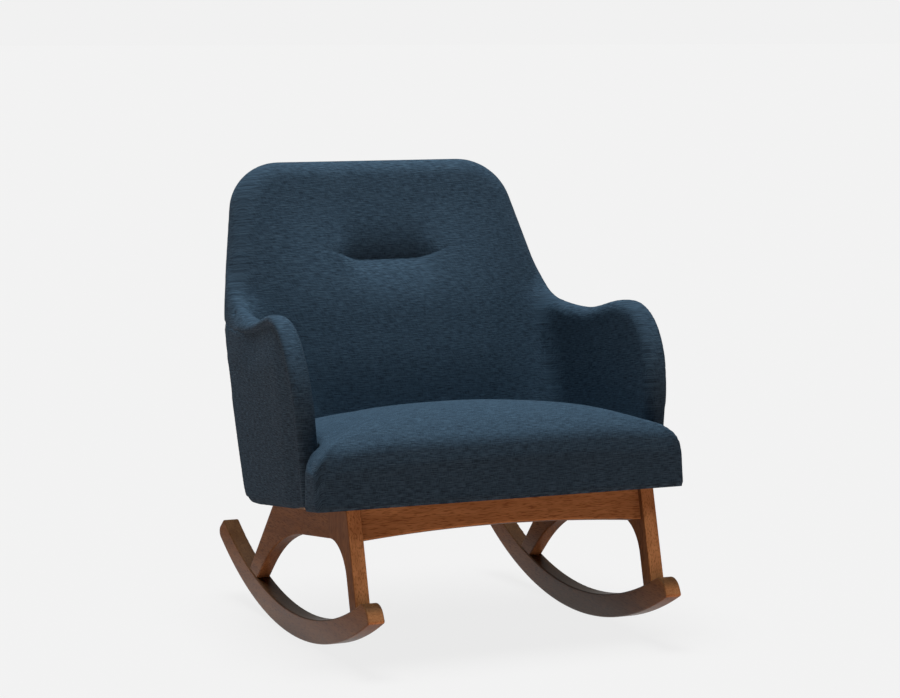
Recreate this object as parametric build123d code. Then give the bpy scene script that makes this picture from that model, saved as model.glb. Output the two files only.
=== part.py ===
from build123d import *
from math import asin, cos, degrees, radians, sin, sqrt, tan
import os

# Upholstered rocking chair in millimetres: front towards -Y, +Z up, floor at z = 0.
# Left and right are as seen from the front. Depths (y) are measured from the line where
# the runners touch the floor; write() then moves the origin midway between the runner ends.

# Runners
runner_radius = 835        # underside arc
runner_height = 45
runner_width = 32
runner_front_reach = 401   # underside, from the floor contact to the front end
runner_rear_reach = 441
runner_rear_slant = 1.2    # the top of the rear end comes short of the underside, degrees
runner_nose = 30           # rounding over the front end
runner_toe = 5             # under the front end
runner_tail = 8            # over the rear end
runner_heel = 14           # under the rear end
wood_round = 3             # softened edges of the base

# Side frames
side_width = 28
side_inset = 40            # middle of a side frame inside the seat frame
deck_front_y = -288        # front top corner of a side frame
deck_front_z = 287
seat_tilt = 7              # seat and rails fall towards the back, degrees
front_leg_lean = 15.4      # degrees from vertical, foot forward
front_leg_width = 35
rear_foot_y = 247          # rear edge of the rear foot, on the runner
rear_foot_width = 42
rear_leg_lean = 43         # rear edge, degrees from vertical
rear_leg_inner_lean = 48
side_rail_depth = 55
front_arch_radius = 80
rear_arch_radius = 420
front_joint = 95           # along the deck, from the front corner
rear_joint = 232

# Cross rails and blocks of the base
rail_setback = 12          # front rail behind the front of the legs
rail_thickness = 24
front_rail_depth = 56
front_rail_rise = 13       # arched underside
rear_rail_depth = 50
rear_rail_setback = 352    # along the deck
base_block_leg = 75
base_block_depth = 26
base_block_drop = 2        # top of the blocks below the rails

# Dowels
dowel_radius = 4
dowel_length = 40
foot_dowel_spread = 14     # between the two dowels of a foot
rail_dowel_spread = 24     # between the two dowels of a rail end

# Seat frame on the deck
cloth = 1                  # dust cover
frame_height = 40
frame_thickness = 25
seat_frame_inset = 40      # seat frame inside the outside of the arms
seat_frame_front = 12      # behind the front corner of the deck
seat_side_rail_width = 35
seat_rear_rail_setback = 330
seat_block_leg = 75
seat_block_height = 25
strap_width = 50
strap_thickness = 2
seat_strap_count = 6
seat_strap_pitch = 92
dust_cover_lap = 8         # over the side rails of the seat

# Bolts between base and body
bolt_radius = 4
bolt_play = 0.5
bolt_inset = 19            # from the side frames
bolt_clear = 13            # from the rails of the seat
bolt_head_width = 13
bolt_head_height = 5.3
bolt_end = 5               # bolt beyond the nut
washer_radius = 10
washer_thickness = 1.6
nut_flange_radius = 10
nut_flange_thickness = 1.5
nut_barrel_radius = 5.5
nut_barrel_length = 9
nut_play = 0.1

# Seat pad
seat_inset = 5             # ears of the seat inside the outside of the arms
seat_front = 17            # in front of the deck corner
seat_crown_height = 178    # above the deck
seat_crown_setback = 190
seat_crown_radius = 1215
seat_fall_radius = 387     # from the crown down to the front edge
seat_corner_radius = 18
seat_ear_radius = 30       # rear corners of the ears in front of the arms
seat_roll = 36             # front edge
seat_side_roll = 74
seat_hem = 8

# Back
back_setback = 361         # front of the back along the deck
back_recline = 24
back_thickness = 76
back_height = 711
back_base_inset = 1        # foot of the back inside the rear of the arms
back_shoulder_inset = 9
back_shoulder_height = 400
back_side_lean = 11.6
back_corner_radius = 110
back_shoulder_radius = 150
back_roll = 48             # front edges
back_rear_roll = 26
back_heel = 35             # lower rear corner, in side view
back_filling = 30          # soft layer in front of the frame
back_rim = 28              # soft rim round the frame and the outside panel
panel_thickness = 5
post_width = 26
post_height = 590
tuft_rail_height = 45
tuft_rail_thickness = 20
back_strap_count = 5
back_strap_pitch = 82
back_strap_low = 85
back_strap_lap = 18        # of a strap over a post
tuft_height = 489
tuft_half = 112
tuft_radius = 26
tuft_depth = 25
tie_radius = 1.5
tie_pitch = 60

# Arms
arm_front_y = -216
arm_front_half = 375       # outside of an arm at its front, at the reference height
arm_rear_y = 200
arm_taper = 18             # an arm further in at its rear
arm_front_flare = 5        # degrees
arm_rear_flare = -1
arm_reference_z = 430
arm_thickness = 42
arm_crest_y = -80
arm_crest_z = 620
arm_dip_y = 75
arm_dip_z = 595
arm_climb_z = 675          # where the top of the arm has climbed into the back
arm_lean_start = 385       # up the back, where an arm leans in with the back
arm_lean = 15              # degrees
arm_lean_out = 2           # past the outside of the arm
arm_inner_roll = 24
arm_outer_roll = 10
arm_panel_rim = 14
arm_board_thickness = 12
arm_board_inset = 27

gap = 0.3                  # between soft pieces
BIG = 900                  # reach of cutting blocks

tilt = radians(seat_tilt)
recline = radians(back_recline)
lean = radians(front_leg_lean)
seat_half = arm_front_half - seat_inset
arm_rear_half = arm_front_half - arm_taper
back_base_half = arm_rear_half - back_base_inset
back_shoulder_half = arm_rear_half - back_shoulder_inset
seat_frame_half = arm_front_half - seat_frame_inset
seat_inner_half = seat_frame_half - seat_side_rail_width
half_gap = seat_frame_half - side_inset
rail_half = half_gap - side_width / 2
runner_top = runner_radius - runner_height
runner_front_angle = degrees(asin(runner_front_reach / runner_radius))
runner_rear_angle = degrees(asin(runner_rear_reach / runner_radius))
seat_front_span = (seat_frame_front, seat_frame_front + frame_thickness)
seat_rear_span = (seat_rear_rail_setback, seat_rear_rail_setback + frame_thickness)
bolt_lines = (seat_front_span[1] + bolt_clear, seat_rear_span[0] - bolt_clear)

# Levels above the deck, from under the bolts to over the straps
block_low = -base_block_drop - base_block_depth
frame_top = cloth + frame_height
seat_block_top = cloth + seat_block_height
strap_top = frame_top + strap_thickness

# Depths behind the front of the back
frame_depth = back_filling + strap_thickness
panel_depth = back_thickness - panel_thickness


def leaning(point, angle):
    """Frame with x across, y up along a slope that leans back, z out of its front."""
    return Plane(point, x_dir=(1, 0, 0), z_dir=(0, -cos(angle), sin(angle))).location


deck_corner = (0, deck_front_y, deck_front_z)
deck = Plane(deck_corner, x_dir=(1, 0, 0), z_dir=(0, sin(tilt), cos(tilt))).location
back_y = deck_front_y + back_setback * cos(tilt)
back_z = deck_front_z - back_setback * sin(tilt)
back = leaning((0, back_y, back_z), recline)
leg_front = leaning(deck_corner, lean)


def deck_z(y, height=0):
    """Height at a depth y of a line that lies a height above the deck."""
    return deck_front_z - (y - deck_front_y) * tan(tilt) + height / cos(tilt)


def deck_height(point):
    return (point.Y - deck_front_y) * sin(tilt) + (point.Z - deck_front_z) * cos(tilt)


def back_depth(point):
    return (point.Y - back_y) * cos(recline) - (point.Z - back_z) * sin(recline)


def back_point(s, depth):
    """Side view point at a height s along the back and a depth behind its front."""
    y = back_y + s * sin(recline) + depth * cos(recline)
    return y, back_z + s * cos(recline) - depth * sin(recline)


def block(frame, x, y, z):
    """Block between two limits in each direction of a frame."""
    size = [high - low for low, high in (x, y, z)]
    middle = [(high + low) / 2 for low, high in (x, y, z)]
    return frame * Pos(*middle) * Box(*size)


def across(face, low, high):
    """Side view (y, z) pulled out between two x values."""
    return extrude(Plane.YZ.offset(low) * face, amount=high - low)


def other_side(shape):
    return mirror(shape, about=Plane.YZ)


def both(shapes):
    return [*shapes, *[other_side(shape) for shape in shapes]]


def cut(shape, tools):
    for tool in tools:
        shape = shape - tool
    return shape


def write(node, *shapes):
    """Write one node, with the origin midway between the ends of the runners."""
    moved = [Pos(0, -middle_y, 0) * solid for shape in shapes for solid in shape.solids()]
    export_step(moved[0] if len(moved) == 1 else Compound(moved), f"parts/{node}.step")


def write_pair(name, right):
    write(name + "_right", right)
    write(name + "_left", other_side(right))


heel_reach = back_heel / tan((radians(90) + recline - tilt) / 2)
heel_s = back_thickness * tan(recline - tilt)
heel_centre = back_point(heel_s + heel_reach, back_thickness - back_heel)
heel_start = back_setback + back_thickness / cos(recline - tilt) - heel_reach
panel_top = arm_dip_z - arm_panel_rim

everywhere = (-BIG, BIG)
over_deck = block(deck, everywhere, everywhere, (0, BIG))
under_deck = block(deck, everywhere, everywhere, (-BIG, 0))
under_frame = block(deck, everywhere, everywhere, (-BIG, cloth))


# Base
def runner_blank():
    """Right runner: an arc with a round nose and a slanted rear end."""
    start = -90 - runner_front_angle
    length = runner_front_angle + runner_rear_angle
    low = CenterArc((0, runner_radius), runner_radius, start, length)
    high = CenterArc((0, runner_radius), runner_top, start, length - runner_rear_slant)
    corners = [low @ 0, high @ 0, high @ 1, low @ 1]
    face = make_face([low, high, Line(*corners[:2]), Line(*corners[2:])])
    for corner, radius in zip(corners, (runner_toe, runner_nose, runner_tail, runner_heel)):
        face = fillet(face.vertices().sort_by_distance(corner)[0], radius)
    solid = across(face, half_gap - runner_width / 2, half_gap + runner_width / 2)
    return fillet(solid.faces().filter_by(Axis.X).edges(), wood_round)


def runner_point(y):
    """Side view point of the top of a runner at a depth y."""
    return y, runner_radius - sqrt(runner_top ** 2 - y ** 2)


def foot_point(y, z, slope):
    """Where a line down a leg, through (y, z), meets the top of a runner."""
    a = 1 + slope ** 2
    b = slope * y + z - runner_radius
    c = y ** 2 + (z - runner_radius) ** 2 - runner_top ** 2
    step = (-b - sqrt(b ** 2 - a * c)) / a
    return y + slope * step, z + step


front_foot = foot_point(deck_front_y + front_leg_width / cos(lean) / 2, deck_front_z, tan(lean))
rear_foot = runner_point(rear_foot_y - rear_foot_width / 2)


def side_frame():
    """Front leg, arched rail and rear leg as one outline, standing on the runner."""
    sink = runner_height / 2
    leg_step = front_leg_width / cos(lean)
    front_slope = tan(lean)
    outer_slope = tan(radians(rear_leg_lean))
    inner_slope = tan(radians(rear_leg_inner_lean))
    rear_out = runner_point(rear_foot_y)
    rear_in = runner_point(rear_foot_y - rear_foot_width)
    toe_z = front_foot[1] - sink
    toe = (deck_front_y - (deck_front_z - toe_z) * front_slope, toe_z)
    heel = (toe[0] + leg_step, toe_z)
    rear_toe = (rear_in[0] + sink * inner_slope, rear_in[1] - sink)
    rear_heel = (rear_out[0] + sink * outer_slope, rear_out[1] - sink)
    rail_z = deck_z(0, -side_rail_depth)
    heel_y = heel[0] - heel[1] * front_slope
    shoulder_z = (rail_z - heel_y * tan(tilt)) / (1 + front_slope * tan(tilt))
    shoulder = (heel_y + shoulder_z * front_slope, shoulder_z)
    knee_y = rear_in[0] + rear_in[1] * inner_slope
    knee_z = (rail_z - knee_y * tan(tilt)) / (1 - inner_slope * tan(tilt))
    knee = (knee_y - knee_z * inner_slope, knee_z)
    top_y = rear_out[0] + rear_out[1] * outer_slope
    top_z = (deck_z(0) - top_y * tan(tilt)) / (1 - outer_slope * tan(tilt))
    rear_top = (top_y - top_z * outer_slope, top_z)
    arch = FilletPolyline(heel, shoulder, knee, rear_toe, radius=[front_arch_radius, rear_arch_radius])
    rest = Polyline(rear_toe, rear_heel, rear_top, (deck_front_y, deck_front_z), toe, heel)
    face = make_face([*arch.edges(), *rest.edges()]) & (Pos(0, runner_radius) * Circle(runner_top))
    solid = across(face, rail_half, rail_half + side_width)
    rims = solid.faces().filter_by(Axis.X).edges()
    return fillet([edge for edge in rims if not on_runner(edge)], wood_round)


def on_runner(edge):
    middle = edge @ 0.5
    return abs(sqrt(middle.Y ** 2 + (middle.Z - runner_radius) ** 2) - runner_top) < wood_round / 2


def foot_dowels():
    """Two dowels side by side in each foot, along the lean of its leg."""
    dowels = []
    for point, angle in ((front_foot, front_leg_lean), (rear_foot, -rear_leg_lean)):
        for step in (-foot_dowel_spread / 2, foot_dowel_spread / 2):
            place = Pos(half_gap + step, *point) * Rot(X=-angle)
            dowels.append(place * Cylinder(dowel_radius, dowel_length))
    return dowels


def joint_dowels():
    """Two dowels along the deck in each joint of a side frame."""
    dowels = []
    for joint in (front_joint, rear_joint):
        for step in (-rail_dowel_spread / 2, rail_dowel_spread / 2):
            place = deck * Pos(half_gap, joint, step - side_rail_depth / 2) * Rot(X=90)
            dowels.append(place * Cylinder(dowel_radius, dowel_length))
    return dowels


def cross_dowels():
    """Dowels across the ends of the front rail and of the rear rail."""
    places = []
    for step in (-rail_dowel_spread / 2, rail_dowel_spread / 2):
        front_middle = -rail_setback - rail_thickness / 2
        rear_middle = rear_rail_setback + rail_thickness / 2
        places.append(leg_front * Pos(rail_half, step - front_rail_depth / 2, front_middle))
        places.append(deck * Pos(rail_half, rear_middle, step - rear_rail_depth / 2))
    return [place * Rot(Y=90) * Cylinder(dowel_radius, dowel_length) for place in places]


def front_rail_blank():
    """Rail that leans with the front legs and has an arched underside."""
    low = -front_rail_depth
    corners = [(-rail_half, low), (-rail_half, -low), (rail_half, -low), (rail_half, low)]
    arch = ThreePointArc(corners[0], (0, low + front_rail_rise), corners[-1])
    face = make_face([*Polyline(*corners).edges(), arch])
    rail = extrude(leg_front * Pos(0, 0, -rail_setback) * face, amount=-rail_thickness) - over_deck
    return fillet(rail.edges().filter_by(GeomType.CIRCLE), wood_round)


def corner_block(corner_x, corner_v, leg, low, height, direction):
    """Triangular block with its right angle in a corner of a frame."""
    plan = [(corner_x, corner_v), (corner_x - leg, corner_v), (corner_x, corner_v + direction * leg)]
    return extrude(deck * Pos(0, 0, low) * make_face(Polyline(*plan, close=True)), amount=height)


# Bolts, standing on the deck
def ring(outer, inner, low, height):
    return extrude(Pos(0, 0, low) * (Circle(outer) - Circle(inner)), amount=height)


def rod(radius, low, high):
    return extrude(Pos(0, 0, low) * Circle(radius), amount=high - low)


def bolt():
    under_head = block_low - washer_thickness
    head = Pos(0, 0, under_head) * RegularPolygon(bolt_head_width / 2, 6, major_radius=False)
    shank = rod(bolt_radius, under_head, seat_block_top + nut_flange_thickness + bolt_end)
    return shank + extrude(head, amount=-bolt_head_height)


def washer():
    return ring(washer_radius, bolt_radius + nut_play, block_low - washer_thickness, washer_thickness)


def tee_nut():
    bore = bolt_radius + nut_play
    barrel = ring(nut_barrel_radius, bore, seat_block_top - nut_barrel_length, nut_barrel_length)
    return barrel + ring(nut_flange_radius, bore, seat_block_top, nut_flange_thickness)


def at_bolts(shape):
    """The same shape at the front bolt and the rear bolt of one side."""
    return [deck * Pos(rail_half - bolt_inset, v, 0) * shape for v in bolt_lines]


bolt_holes = at_bolts(rod(bolt_radius + bolt_play, -BIG, BIG))
barrel_holes = at_bolts(rod(nut_barrel_radius, seat_block_top - nut_barrel_length, BIG))


# Arms
def arm_half(y, z, inset):
    """Half width of an arm at a depth and height, an inset in from its outside."""
    share = (y - arm_front_y) / (arm_rear_y - arm_front_y)
    flare = arm_front_flare + (arm_rear_flare - arm_front_flare) * share
    middle = arm_front_half + (arm_rear_half - arm_front_half) * share
    return middle - inset + tan(radians(flare)) * (z - arm_reference_z)


def arm_layer(outer, inner):
    """Twisted slab between two insets of the right arm."""
    sections = []
    for y in (arm_front_y - BIG / 9, arm_rear_y + BIG / 5):
        corners = [(inner, 0), (outer, 0), (outer, BIG), (inner, BIG)]
        points = [(arm_half(y, z, inset), y, z) for inset, z in corners]
        sections.append(make_face(Polyline(*points, close=True)))
    return loft(sections, ruled=True)


def arm_outline(inset, lower, depth):
    """Side view of an arm: upright front, round crest, dip, and climb into the back."""
    front_y = arm_front_y + inset
    crest = (arm_crest_y, arm_crest_z - inset)
    dip = (arm_dip_y, arm_dip_z - inset)
    climb = back_point((arm_climb_z - inset - back_z + depth * sin(recline)) / cos(recline), depth)
    heel_s = (lower + depth * sin(recline - tilt)) / cos(recline - tilt)
    toe = (front_y, deck_z(front_y, lower))
    nose_width = arm_crest_y - front_y
    nose_height = crest[1] - arm_reference_z
    nose = EllipticalCenterArc((arm_crest_y, arm_reference_z), nose_width, nose_height, 90, arc_size=90)
    wave = (arm_dip_y - arm_crest_y) * 0.4
    ramp = (climb[0] - arm_dip_y) / 2
    fall = Bezier(crest, (crest[0] + wave, crest[1]), (dip[0] - wave, dip[1]), dip)
    rise = Bezier(dip, (dip[0] + ramp, dip[1]), (climb[0] - ramp / 2, dip[1] + ramp / 12), climb)
    sides = Polyline((front_y, arm_reference_z), toe, back_point(heel_s, depth), climb)
    return make_face([nose, fall, rise, *sides.edges()])


def arm_prism(inset, lower, depth):
    return across(arm_outline(inset, lower, depth), 0, BIG)


def roll(solid, side, radius):
    """Round the front and top edges of the inner (0) or outer (-1) side of an arm."""
    walls = [face for face in solid.faces() if abs(face.normal_at().X) > 0.9]
    wall = sorted(walls, key=lambda face: face.center().X)[side]
    rims = [edge for edge in wall.edges() if deck_height(edge @ 0.5) > 1]
    rims = [edge for edge in rims if abs(back_depth(edge @ 0.5) - back_thickness / 2) > 1]
    return fillet(rims, radius)


def arm_blank():
    solid = arm_layer(0, arm_thickness) & arm_prism(0, 0, back_thickness / 2)
    solid = roll(solid.solids()[0], 0, arm_inner_roll)
    solid = roll(solid, -1, arm_outer_roll)
    side = back * Pos(arm_rear_half + arm_lean_out, arm_lean_start) * Rot(Z=arm_lean)
    return solid - block(side, (0, BIG), everywhere, everywhere)


def board_frame():
    """Flat frame in the middle of the twisted arm: x up, z outwards."""
    y = (arm_front_y + arm_rear_y) / 2
    middle = Vector(arm_half(y, arm_reference_z, arm_thickness / 2), y, arm_reference_z)
    rise = arm_half(y, arm_reference_z + 1, 0) - arm_half(y, arm_reference_z, 0)
    run = arm_half(y + 1, arm_reference_z, 0) - arm_half(y, arm_reference_z, 0)
    return Plane(middle, x_dir=(rise, 0, 1), z_dir=(1, -run, -rise)).location


# Back
def back_outline(inset):
    """The back from the front: straight sides, leaning shoulders and round top corners."""
    low = -BIG / 8
    slope = tan(radians(back_side_lean))
    top = back_height - inset
    shoulder = back_shoulder_half - inset
    base = back_base_half - inset - low * (back_base_half - back_shoulder_half) / back_shoulder_height
    corner = shoulder - (top - back_shoulder_height) * slope
    right = [(base, low), (shoulder, back_shoulder_height), (corner, top)]
    left = [(-x, s) for x, s in reversed(right)]
    radii = [0, back_shoulder_radius, back_corner_radius - inset]
    return make_face(FilletPolyline(*right, *left, radius=[*radii, *reversed(radii)], close=True))


def back_slab(inset, front_depth, rear_depth):
    return extrude(back * Pos(0, 0, -front_depth) * back_outline(inset), amount=front_depth - rear_depth)


def heel_corner():
    """Lower rear corner of the back, out to the ends of its rounding."""
    corner = back_point(heel_s, back_thickness)
    rear = back_point(heel_s + heel_reach, back_thickness)
    under = (corner[0] - heel_reach * cos(tilt), corner[1] + heel_reach * sin(tilt))
    return across(make_face(Polyline(under, corner, rear, heel_centre, close=True)), -BIG, BIG)


def heel_rod(radius):
    return across(Pos(*heel_centre) * Circle(radius), -BIG, BIG)


heel = heel_corner()
past_heel = heel - heel_rod(back_heel)
heel_skin = heel & (heel_rod(back_heel) - heel_rod(back_heel - panel_thickness))


def back_blank():
    """Slab with its edges rolled all round, standing on the deck."""
    solid = back_slab(0, 0, back_thickness)
    for depth, radius in ((0, back_roll), (back_thickness, back_rear_roll)):
        rims = [edge for edge in solid.edges() if abs(back_depth(edge @ 0.5) - depth) < 1]
        solid = fillet([edge for edge in rims if deck_height(edge @ 0.5) > 0], radius)
    return cut(solid, [under_deck, past_heel])


def tuft_groove():
    """Rod with round ends that presses the stitched pinch into the back."""
    straight = tuft_half - tuft_radius
    ends = [CenterArc((straight, 0), tuft_radius, 0, 90), CenterArc((-straight, 0), tuft_radius, 90, 90)]
    lines = [Line(ends[0] @ 1, ends[1] @ 0), Line(ends[1] @ 1, ends[0] @ 0)]
    rod_shape = revolve(make_face([*ends, *lines]), Axis.X)
    return back * Pos(0, tuft_height, tuft_radius - tuft_depth) * rod_shape


# Seat pad
def seat_blank():
    """Crowned block with rolled edges, before arms, back and frame are cut out of it."""
    depth = back_setback + BIG / 8
    fall_angle = degrees(asin((seat_crown_setback + seat_front) / seat_fall_radius))
    rear_angle = degrees(asin((depth - seat_crown_setback) / seat_crown_radius))
    fall_centre = (seat_crown_setback, seat_crown_height - seat_fall_radius)
    rear_centre = (seat_crown_setback, seat_crown_height - seat_crown_radius)
    fall = CenterArc(fall_centre, seat_fall_radius, 90, fall_angle)
    rear = CenterArc(rear_centre, seat_crown_radius, 90, -rear_angle)
    under = Polyline(fall @ 1, (-seat_front, 0), (depth, 0), rear @ 1)
    side_view = make_face([fall, rear, *under.edges()])
    side_view = fillet(side_view.vertices().sort_by_distance(fall @ 1)[0], seat_roll)
    side_height = seat_crown_height - seat_crown_radius + sqrt(seat_crown_radius ** 2 - seat_half ** 2)
    bow = ThreePointArc((-seat_half, side_height), (0, seat_crown_height), (seat_half, side_height))
    front_view = make_face([bow, *Polyline(bow @ 1, (seat_half, 0), (-seat_half, 0), bow @ 0).edges()])
    front_view = fillet(front_view.vertices().group_by(Axis.Y)[-1], seat_side_roll)
    plan = Pos(0, depth / 2 - seat_front) * Rectangle(2 * seat_half, depth)
    plan = fillet(plan.vertices().group_by(Axis.Y)[0], seat_corner_radius)
    solid = across(side_view, -seat_half, seat_half) & extrude(plan, amount=2 * seat_crown_height)
    solid = deck * solid & extrude(deck * Rot(X=90) * front_view, amount=BIG, both=True)
    under = [face for face in solid.faces() if abs(deck_height(face.center())) < seat_hem / 2][0]
    return fillet([edge for edge in under.edges() if back_depth(edge @ 0.5) < 0], seat_hem)


def ear_corner():
    """What the rounding of an ear takes off, in front of the arm."""
    corner = Rectangle(seat_ear_radius, seat_ear_radius, align=Align.MIN) - Circle(seat_ear_radius)
    place = Pos(seat_half - seat_ear_radius, arm_front_y - gap - seat_ear_radius)
    return extrude(place * corner, amount=BIG)


os.makedirs("parts", exist_ok=True)

# Base
runner = runner_blank()
middle_y = runner.bounding_box().center().Y
foot_pins = foot_dowels()
joint_pins = joint_dowels()
cross_pins = cross_dowels()
side = cut(side_frame(), [*foot_pins, *joint_pins, *cross_pins])
front_leg = side & block(deck, everywhere, (-BIG, front_joint), everywhere)
side_rail = side & block(deck, everywhere, (front_joint, rear_joint), everywhere)
rear_leg = side & block(deck, everywhere, (rear_joint, BIG), everywhere)
front_rail = front_rail_blank()
rear_rail_span = (rear_rail_setback, rear_rail_setback + rail_thickness)
rear_rail = block(deck, (-rail_half, rail_half), rear_rail_span, (-rear_rail_depth, 0))
base_blocks = []
for corner_v, way in ((rail_setback + rail_thickness / 2, 1), (rear_rail_setback, -1)):
    blank = corner_block(rail_half, corner_v, base_block_leg, block_low, base_block_depth, way)
    base_blocks.append(cut(blank, [front_rail, *bolt_holes]))

write_pair("runner", cut(runner, foot_pins))
write_pair("front_leg", front_leg)
write_pair("side_rail", side_rail)
write_pair("rear_leg", rear_leg)
write("front_rail", cut(front_rail, both(cross_pins)))
write("rear_rail", cut(rear_rail, both(cross_pins)))
write("base_corner_blocks", *both(base_blocks))
write("runner_dowels", *both(foot_pins))
write("side_dowels", *both(joint_pins))
write("cross_dowels", *both(cross_pins))

# Frame inside the body
board_place = board_frame()
arm_board = block(board_place, everywhere, everywhere, (-arm_board_thickness / 2, arm_board_thickness / 2))
arm_board = arm_board & arm_prism(arm_board_inset, cloth, frame_depth + post_width / 2)
board_top = arm_dip_z - arm_board_inset
arm_board = arm_board - block(Location(), everywhere, (arm_dip_y, BIG), (board_top, BIG))
past_board = block(board_place, everywhere, everywhere, (-arm_board_thickness / 2, BIG))
past_boards = both([past_board])
hoop = back_slab(back_rim, frame_depth, panel_depth) - back_slab(back_rim + post_width, 0, back_thickness)
hoop = cut(hoop, [under_frame, past_heel, heel_skin])
top_rail = hoop & block(back, everywhere, (post_height, BIG), everywhere)
post = hoop & block(back, (0, BIG), (-BIG, post_height), everywhere)
post = post - (past_board & block(back, everywhere, (-BIG, back_shoulder_height), everywhere))
inside_posts = back_slab(back_rim + post_width, 0, back_thickness)
tuft_rail_span = (tuft_height - tuft_rail_height / 2, tuft_height + tuft_rail_height / 2)
tuft_rail = block(back, everywhere, tuft_rail_span, (-frame_depth - tuft_rail_thickness, -frame_depth))
tuft_rail = tuft_rail & inside_posts
behind_front = block(back, everywhere, everywhere, (-BIG, -frame_depth))
seat_front_rail = block(deck, (-seat_frame_half, seat_frame_half), seat_front_span, (cloth, frame_top))
seat_side_rail = block(deck, (seat_inner_half, BIG), (seat_front_span[1], BIG), (cloth, frame_top))
seat_side_rail = cut(seat_side_rail, [past_board, behind_front])
seat_rear_rail = block(deck, (-seat_inner_half, seat_inner_half), seat_rear_span, (cloth, frame_top))
seat_blocks = []
for corner_v, way in ((seat_front_span[1], 1), (seat_rear_span[0], -1)):
    blank = corner_block(seat_inner_half, corner_v, seat_block_leg, cloth, seat_block_height, way)
    seat_blocks.append(cut(blank, [*bolt_holes, *barrel_holes]))
seat_straps = []
for i in range(seat_strap_count):
    x = (i - (seat_strap_count - 1) / 2) * seat_strap_pitch
    span = (x - strap_width / 2, x + strap_width / 2)
    seat_straps.append(block(deck, span, (seat_frame_front, seat_rear_span[1]), (frame_top, strap_top)))
back_straps = []
for i in range(back_strap_count):
    s = back_strap_low + i * back_strap_pitch
    span = (s - strap_width / 2, s + strap_width / 2)
    strap = block(back, everywhere, span, (-frame_depth, -back_filling))
    back_straps.append(strap & back_slab(back_rim + post_width - back_strap_lap, 0, back_thickness))
dust_half = seat_inner_half + dust_cover_lap
dust_cover = block(deck, (-dust_half, dust_half), (seat_frame_front, heel_start), (0, cloth))

write_pair("arm_board", arm_board)
write_pair("back_post", post)
write("back_top_rail", top_rail)
write("back_tuft_rail", tuft_rail)
write("back_webbing", *back_straps)
write("seat_front_rail", seat_front_rail)
write("seat_rear_rail", seat_rear_rail)
write_pair("seat_side_rail", seat_side_rail)
write("seat_corner_blocks", *both(seat_blocks))
write("seat_webbing", *seat_straps)
write("dust_cover", cut(dust_cover, both(bolt_holes)))
write("seat_bolts", *both(at_bolts(bolt())))
write("bolt_washers", *both(at_bolts(washer())))
write("tee_nuts", *both(at_bolts(tee_nut())))

# Upholstery
back_form = back_blank()
arm_form = arm_blank()
groove = tuft_groove()
outer_arm = arm_layer(0, panel_thickness) & arm_prism(arm_panel_rim, 0, back_thickness / 2)
outer_arm = cut(outer_arm, [back_form, block(Location(), everywhere, (arm_dip_y, BIG), (panel_top, BIG))])
arm_pad = cut(arm_form, [back_form, outer_arm, arm_board, seat_side_rail])
outer_back = cut(back_slab(back_rim, panel_depth, back_thickness), [under_deck, heel])
outer_back = outer_back + (heel_skin & back_slab(back_rim, 0, back_thickness))
frame_room = back_slab(back_rim, back_filling, panel_depth)
frames = both([arm_board, seat_side_rail])
ties = []
for x in (-tie_pitch, 0, tie_pitch):
    tie = back * Pos(x, tuft_height, 0) * rod(tie_radius, -frame_depth, 0)
    ties.append(tie - groove)
back_pad = cut(back_form, [frame_room, outer_back, groove, dust_cover, *frames, *ties])
arm_zone = arm_layer(-BIG / 4, arm_thickness + gap)
arm_zone = arm_zone & block(Location(), everywhere, (arm_front_y - gap, BIG), everywhere)
back_zone = block(back, everywhere, everywhere, (-BIG, gap))
frame_zone = block(deck, (-seat_frame_half, seat_frame_half), (seat_frame_front, BIG), (-BIG, strap_top))
seat_pad = cut(seat_blank(), [back_zone, frame_zone, *both([arm_zone, ear_corner(), seat_side_rail])])

write("seat_pad", seat_pad)
write("back_pad", back_pad)
write_pair("arm_pad", arm_pad)
write_pair("outer_arm", outer_arm)
write("outer_back", outer_back)
write("tuft_ties", *ties)
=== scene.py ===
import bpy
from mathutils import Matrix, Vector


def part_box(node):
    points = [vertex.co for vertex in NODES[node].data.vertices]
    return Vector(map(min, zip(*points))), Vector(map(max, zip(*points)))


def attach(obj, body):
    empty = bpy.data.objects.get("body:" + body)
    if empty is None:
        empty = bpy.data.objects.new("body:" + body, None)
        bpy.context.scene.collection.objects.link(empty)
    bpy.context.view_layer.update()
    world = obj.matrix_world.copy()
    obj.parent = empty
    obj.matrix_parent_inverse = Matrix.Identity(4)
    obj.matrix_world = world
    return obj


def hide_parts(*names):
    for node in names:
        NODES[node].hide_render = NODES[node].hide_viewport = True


bl_info = {
    "name": "Upholstered rocking chair",
    "version": (1, 0, 0),
    "blender": (4, 5, 0),
    "location": "View3D > Sidebar > Rocking chair",
    "description": "Dresses the packed rocking chair in cloth and stained wood, and sets its studio",
    "category": "Object",
}

import math

import bmesh
import bpy
import numpy as np
from bpy.props import FloatProperty, FloatVectorProperty, PointerProperty
from mathutils import Matrix, Vector

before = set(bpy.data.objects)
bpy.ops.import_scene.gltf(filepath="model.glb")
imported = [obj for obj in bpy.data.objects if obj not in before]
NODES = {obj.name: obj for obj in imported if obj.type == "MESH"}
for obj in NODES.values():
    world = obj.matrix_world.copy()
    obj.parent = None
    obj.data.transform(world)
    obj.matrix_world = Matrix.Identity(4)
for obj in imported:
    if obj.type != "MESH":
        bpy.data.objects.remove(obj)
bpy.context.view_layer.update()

SIDES = (("left", -1.0), ("right", 1.0))

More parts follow.
